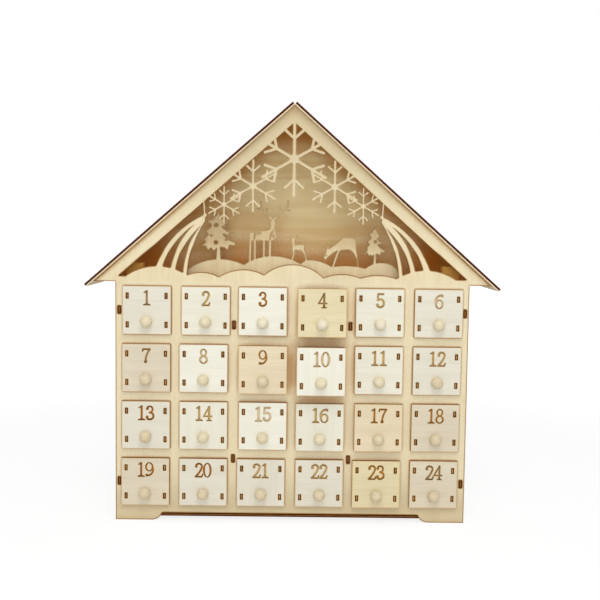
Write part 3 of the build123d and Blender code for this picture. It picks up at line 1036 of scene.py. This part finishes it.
@dataclass
class Knob:
    """Turned knob: a ball on a short foot."""

    centre: Vector
    radius: float = 0.00575
    standoff: float = 0.0044
    foot_radius: float = 0.0040
    foot_height: float = 0.0007
    steps: int = 40
    arc_steps: int = 14

    def profile(self) -> list[Vector]:
        """Draw the half outline from the seat to the tip.

        Returns:
            Radius and height of each point.
        """
        start = -math.acos(self.foot_radius / self.radius)
        points = [Vector((0.0, 0.0)), Vector((self.foot_radius, 0.0))]
        for step in range(self.arc_steps + 1):
            turn = start + (math.pi / 2 - start) * step / self.arc_steps
            height = self.standoff + self.radius * math.sin(turn)
            points.append(Vector((self.radius * math.cos(turn), max(height, self.foot_height))))
        return points

    def build(self, piece: Piece, seed: int) -> None:
        """Spin the outline about the knob's axis.

        Args:
            piece: What the knob rides on and stands for.
            seed: Number that picks its place in the stock.
        """
        made = bmesh.new()
        verts = [made.verts.new(self.centre + Vector((p.x, -p.y, 0.0))) for p in self.profile()]
        edges = [made.edges.new(pair) for pair in zip(verts, verts[1:])]
        bmesh.ops.spin(
            made,
            geom=verts + edges,
            cent=self.centre,
            axis=(0, 1, 0),
            angle=math.tau,
            steps=self.steps,
            use_merge=True,
        )
        bmesh.ops.remove_doubles(made, verts=made.verts[:], dist=MERGE_DISTANCE)
        bmesh.ops.recalc_face_normals(made, faces=made.faces[:])
        mark_sheet(made, made.faces, Lay.SIDE_LEVEL, seed)
        for face in made.faces:
            face.material_index = Part.FACE
        piece.show(made)


@dataclass
class Tray:
    """Open box behind a drawer front: two sides with tabs, a back and a base."""

    low: Vector
    high: Vector
    tab_height: float = 0.0056
    tab_offset: float = 0.0140

    def side_outline(self) -> list[tuple[float, float]]:
        """Draw the outline of a side, with its two tabs at the front.

        Returns:
            Depth and height of each corner.
        """
        front = self.low.y
        shoulder = front + PLY
        middle = (self.low.z + self.high.z) / 2
        outline = [(self.high.y, self.low.z), (self.high.y, self.high.z), (shoulder, self.high.z)]
        for offset in (self.tab_offset, -self.tab_offset):
            top = middle + offset + self.tab_height / 2
            foot = middle + offset - self.tab_height / 2
            outline += [(shoulder, top), (front, top), (front, foot), (shoulder, foot)]
        return outline + [(shoulder, self.low.z)]

    def build(self, piece: Piece, seed: int) -> None:
        """Build the four sheets as one piece.

        Args:
            piece: What the tray rides on and stands for.
            seed: Number that picks where in the stock its sheets were cut.
        """
        made = bmesh.new()
        inner_low = self.low.x + TRAY_PLY
        inner_high = self.high.x - TRAY_PLY
        rear = self.high.y - TRAY_PLY
        front = self.low.y + PLY
        for x in (self.low.x, inner_high):
            corners = [Vector((x, y, z)) for y, z in self.side_outline()]
            self.add_sheet(made, corners, Vector((TRAY_PLY, 0, 0)), Lay.SIDE_LEVEL, seed)
        foot = self.low.z
        rim = self.high.z
        back = [(inner_low, foot), (inner_high, foot), (inner_high, rim), (inner_low, rim)]
        corners = [Vector((x, rear, z)) for x, z in back]
        self.add_sheet(made, corners, Vector((0, TRAY_PLY, 0)), Lay.FRONT_LEVEL, seed + 1)
        base = [(inner_low, front), (inner_high, front), (inner_high, rear), (inner_low, rear)]
        corners = [Vector((x, y, foot)) for x, y in base]
        self.add_sheet(made, corners, Vector((0, 0, TRAY_PLY)), Lay.FLAT_DEEP, seed + 2)
        piece.show(made)

    @staticmethod
    def add_sheet(made: Mesh, corners: Sequence[Vector], thickness: Vector, lay: Lay, seed: int) -> None:
        """Add one sheet, extruded from its outline.

        Args:
            made: Mesh to add to.
            corners: Outline of the sheet.
            thickness: Way and distance to extrude.
            lay: How the sheet lies.
            seed: Number that picks where in the stock it was cut.
        """
        before = set(made.faces)
        outline = made.faces.new([made.verts.new(corner) for corner in corners])
        grown = bmesh.ops.extrude_face_region(made, geom=[outline], use_keep_orig=True)
        moved = [item for item in grown["geom"] if isinstance(item, bmesh.types.BMVert)]
        bmesh.ops.translate(made, verts=moved, vec=thickness)
        sheet = [face for face in made.faces if face not in before]
        bmesh.ops.recalc_face_normals(made, faces=sheet)
        mark_sheet(made, sheet, lay, seed)


@dataclass
class Drawer:
    """One drawer: an engraved front, its knob and the tray behind it."""

    number: int
    tone: FrontTone
    burn: Burn
    knob_tone: KnobTone
    lay: Lay
    finishes: Finishes
    knob_drop: float = 0.0107
    tray_slot: str = "tray_ply"
    plate_seed: int = 100
    knob_seed: int = 200
    tray_seed: int = 300
    tray_seed_step: int = 3

    @property
    def name(self) -> str:
        """Name of the drawer's body, and the start of its nodes' names."""
        return f"drawer_{self.number:02d}"

    def piece(self, part: str, node: str, materials: Sequence[Material], slot: str) -> Piece:
        """Describe one piece of the drawer.

        Args:
            part: What the piece is.
            node: End of the name of the node that it stands for.
            materials: Materials of the piece.
            slot: The record's material slot.

        Returns:
            The description.
        """
        return Piece(f"{self.name}_{part}", self.name, f"{self.name}_{node}", slot, materials)

    def build(self) -> None:
        """Build and dress the front, the knob and the tray."""
        looks = self.finishes
        plate = copied(f"{self.name}_front")
        solids = sorted(islands(plate), key=lambda faces: -max(v.co.z for f in faces for v in f.verts))
        knob_faces = [face for solid in solids[1:] for face in solid]
        bmesh.ops.delete(plate, geom=knob_faces, context="FACES")
        bmesh.ops.dissolve_limit(
            plate, angle_limit=FLAT_ANGLE, verts=plate.verts[:], edges=plate.edges[:], delimit={"NORMAL"}
        )
        places = [vert.co for vert in plate.verts]
        middle_x = (min(p.x for p in places) + max(p.x for p in places)) / 2
        middle_z = (min(p.z for p in places) + max(p.z for p in places)) / 2
        seat = Vector((middle_x, min(p.y for p in places), middle_z - self.knob_drop))
        mark_sheet(plate, plate.faces[:], self.lay, self.plate_seed + self.number)
        fronts = (
            looks.fronts[self.tone],
            looks.front_edge,
            looks.engravings[self.burn],
            looks.engraving_wall,
        )
        self.piece("plate", "front", fronts, self.tone.slot).show(plate)
        knob = self.piece("knob", "front", (looks.knobs[self.knob_tone],), self.tone.slot)
        Knob(seat).build(knob, self.knob_seed + self.number)
        low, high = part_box(f"{self.name}_tray")
        tray = self.piece("box", "tray", (looks.tray, looks.tray_edge), self.tray_slot)
        Tray(low, high).build(tray, self.tray_seed + self.tray_seed_step * self.number)


@dataclass
class Drawers:
    """All the drawers, with the tone and the fibres of each front, its burn and its knob."""

    finishes: Finishes
    count: int = 24
    upright_fibres: tuple[int, ...] = (10, 14, 16, 21)

    @staticmethod
    def tones() -> dict[FrontTone, tuple[int, ...]]:
        """Sort the drawers by the veneer of their fronts.

        Returns:
            Numbers of the drawers of each kind.
        """
        return {
            FrontTone.WHITE: (3, 8, 10, 15),
            FrontTone.PEARL: (2, 5, 11, 14, 16),
            FrontTone.IVORY: (1, 6, 12, 13, 20, 21, 22),
            FrontTone.OAT: (7, 18, 19, 24),
            FrontTone.STRAW: (4, 23),
            FrontTone.HONEY: (9, 17),
        }

    @staticmethod
    def burns() -> dict[Burn, tuple[int, ...]]:
        """Sort the drawers by how strongly their numbers were burnt.

        Returns:
            Numbers of the drawers of each kind.
        """
        return {
            Burn.TRACE: (15,),
            Burn.FAINT: (6, 8, 10),
            Burn.GOLDEN: (2, 5, 11, 12, 14, 16, 21, 22),
            Burn.BROWN: (1, 7),
            Burn.CHARRED: (4, 24),
            Burn.DEEP: (3, 9, 17, 18, 23),
            Burn.TOASTED: (13, 19, 20),
        }

    @staticmethod
    def knob_tones() -> dict[KnobTone, tuple[int, ...]]:
        """Sort the drawers by the wood of their knobs.

        Returns:
            Numbers of the drawers of each kind.
        """
        return {
            KnobTone.MAPLE: (3, 4, 5),
            KnobTone.BIRCH: (1, 2, 6, 8, 10, 11, 14, 15, 16),
            KnobTone.BEECH: (7, 9, 12, 13, 17, 18, 19, 20, 21, 22, 23, 24),
        }

    def build(self) -> None:
        """Build every drawer in order."""
        tone_of = {number: tone for tone, numbers in self.tones().items() for number in numbers}
        burn_of = {number: burn for burn, numbers in self.burns().items() for number in numbers}
        knob_of = {number: tone for tone, numbers in self.knob_tones().items() for number in numbers}
        for number in range(1, self.count + 1):
            lay = Lay.FRONT_UPRIGHT if number in self.upright_fibres else Lay.FRONT_LEVEL
            Drawer(number, tone_of[number], burn_of[number], knob_of[number], lay, self.finishes).build()


@dataclass(frozen=True)
class Lamp:
    """Square soft lamp."""

    name: str
    place: Place
    aim: Place
    size: float
    power: float

    def build(self) -> None:
        """Hang the lamp and turn it to its aim."""
        light = bpy.data.lights.new(self.name, "AREA")
        light.shape = "SQUARE"
        light.size = self.size
        light.energy = self.power
        hung = bpy.data.objects.new(self.name, light)
        hung.location = self.place
        aim = Vector(self.aim) - Vector(self.place)
        hung.rotation_euler = aim.to_track_quat("-Z", "Y").to_euler()
        bpy.context.scene.collection.objects.link(hung)


@dataclass
class Studio:
    """Pale floor, soft light and the camera."""

    floor_half: float = 6.0
    floor_cells: int = 2
    floor_near_light: float = 0.81
    floor_fade: Span = (0.45, 1.30)
    floor_shade: float = 0.25
    floor_bounce: float = 0.84
    sky_strength: float = 0.46
    white: float = 1.0
    lamps: tuple[Lamp, ...] = (
        Lamp("front", (0.0, -2.00, 0.52), (0.0, 0.0, 0.22), 1.0, 11.5),
        Lamp("key", (0.05, -0.85, 1.40), (0.0, 0.0, 0.20), 0.7, 7.2),
    )
    # Turns of the camera are in degrees, and its lens and its sensor in millimetres
    camera_place: Place = (0.0010, -0.892025, 0.2862)
    camera_yaw: float = -0.41
    camera_pitch: float = -4.41
    camera_roll: float = -0.76
    camera_level: float = 90.0
    lens: float = 54.0
    sensor: float = 36.0

    def build(self) -> None:
        """Build the floor, the sky, the lamps and the camera."""
        bpy.context.scene.view_settings.view_transform = "Standard"
        self.build_floor()
        self.build_sky()
        for lamp in self.lamps:
            lamp.build()
        self.build_camera()

    def build_floor(self) -> None:
        """Build a wide floor that shows white and keeps the object's shadow."""
        made = bmesh.new()
        cells = self.floor_cells
        bmesh.ops.create_grid(made, x_segments=cells, y_segments=cells, size=self.floor_half)
        mesh = bpy.data.meshes.new("floor")
        made.to_mesh(mesh)
        made.free()
        floor = bpy.data.objects.new("floor", mesh)
        bpy.context.scene.collection.objects.link(floor)
        material = bpy.data.materials.new("floor_white")
        graph = BackdropGraph(material, "ShaderNodeOutputMaterial")
        matt = graph.even("ShaderNodeBsdfDiffuse", self.floor_bounce)
        shaded = graph.even("ShaderNodeBsdfDiffuse", self.floor_shade)
        own_light = graph.even("ShaderNodeEmission", self.white)
        distance = graph.node("ShaderNodeVectorMath", operation="LENGTH")
        graph.link(graph.place(), distance.inputs[0])
        glow = graph.spread(distance.outputs["Value"], *self.floor_fade, self.floor_near_light, self.white)
        graph.link(glow, own_light.inputs["Strength"])
        shown = graph.node("ShaderNodeAddShader")
        graph.link(shaded.outputs[0], shown.inputs[0])
        graph.link(own_light.outputs[0], shown.inputs[1])
        graph.end(matt, shown)
        mesh.materials.append(material)

    def build_sky(self) -> None:
        """Light the object evenly from all round, in front of a white background."""
        world = bpy.data.worlds.new("studio")
        graph = BackdropGraph(world, "ShaderNodeOutputWorld")
        soft = graph.even("ShaderNodeBackground", self.white)
        soft.inputs["Strength"].default_value = self.sky_strength
        shown = graph.even("ShaderNodeBackground", self.white)
        shown.inputs["Strength"].default_value = self.white
        graph.end(soft, shown)
        bpy.context.scene.world = world

    def build_camera(self) -> None:
        """Stand the camera where the photograph was taken."""
        lens = bpy.data.cameras.new("camera")
        lens.lens = self.lens
        lens.sensor_width = self.sensor
        camera = bpy.data.objects.new("camera", lens)
        turns = (
            (self.camera_yaw, "Z"),
            (self.camera_pitch, "X"),
            (self.camera_roll, "Y"),
            (self.camera_level, "X"),
        )
        stand = Matrix.Translation(self.camera_place)
        for degrees, axis in turns:
            stand = stand @ Matrix.Rotation(math.radians(degrees), TURN_MATRIX_SIZE, axis)
        camera.matrix_world = stand
        bpy.context.scene.collection.objects.link(camera)
        bpy.context.scene.camera = camera


def main() -> None:
    """Build the house, the drawers and the studio."""
    logging.basicConfig(level=logging.INFO, format="%(message)s")
    finishes = Finishes.make()
    House(finishes).build()
    Drawers(finishes).build()
    Studio().build()


if __name__ == "__main__":
    main()
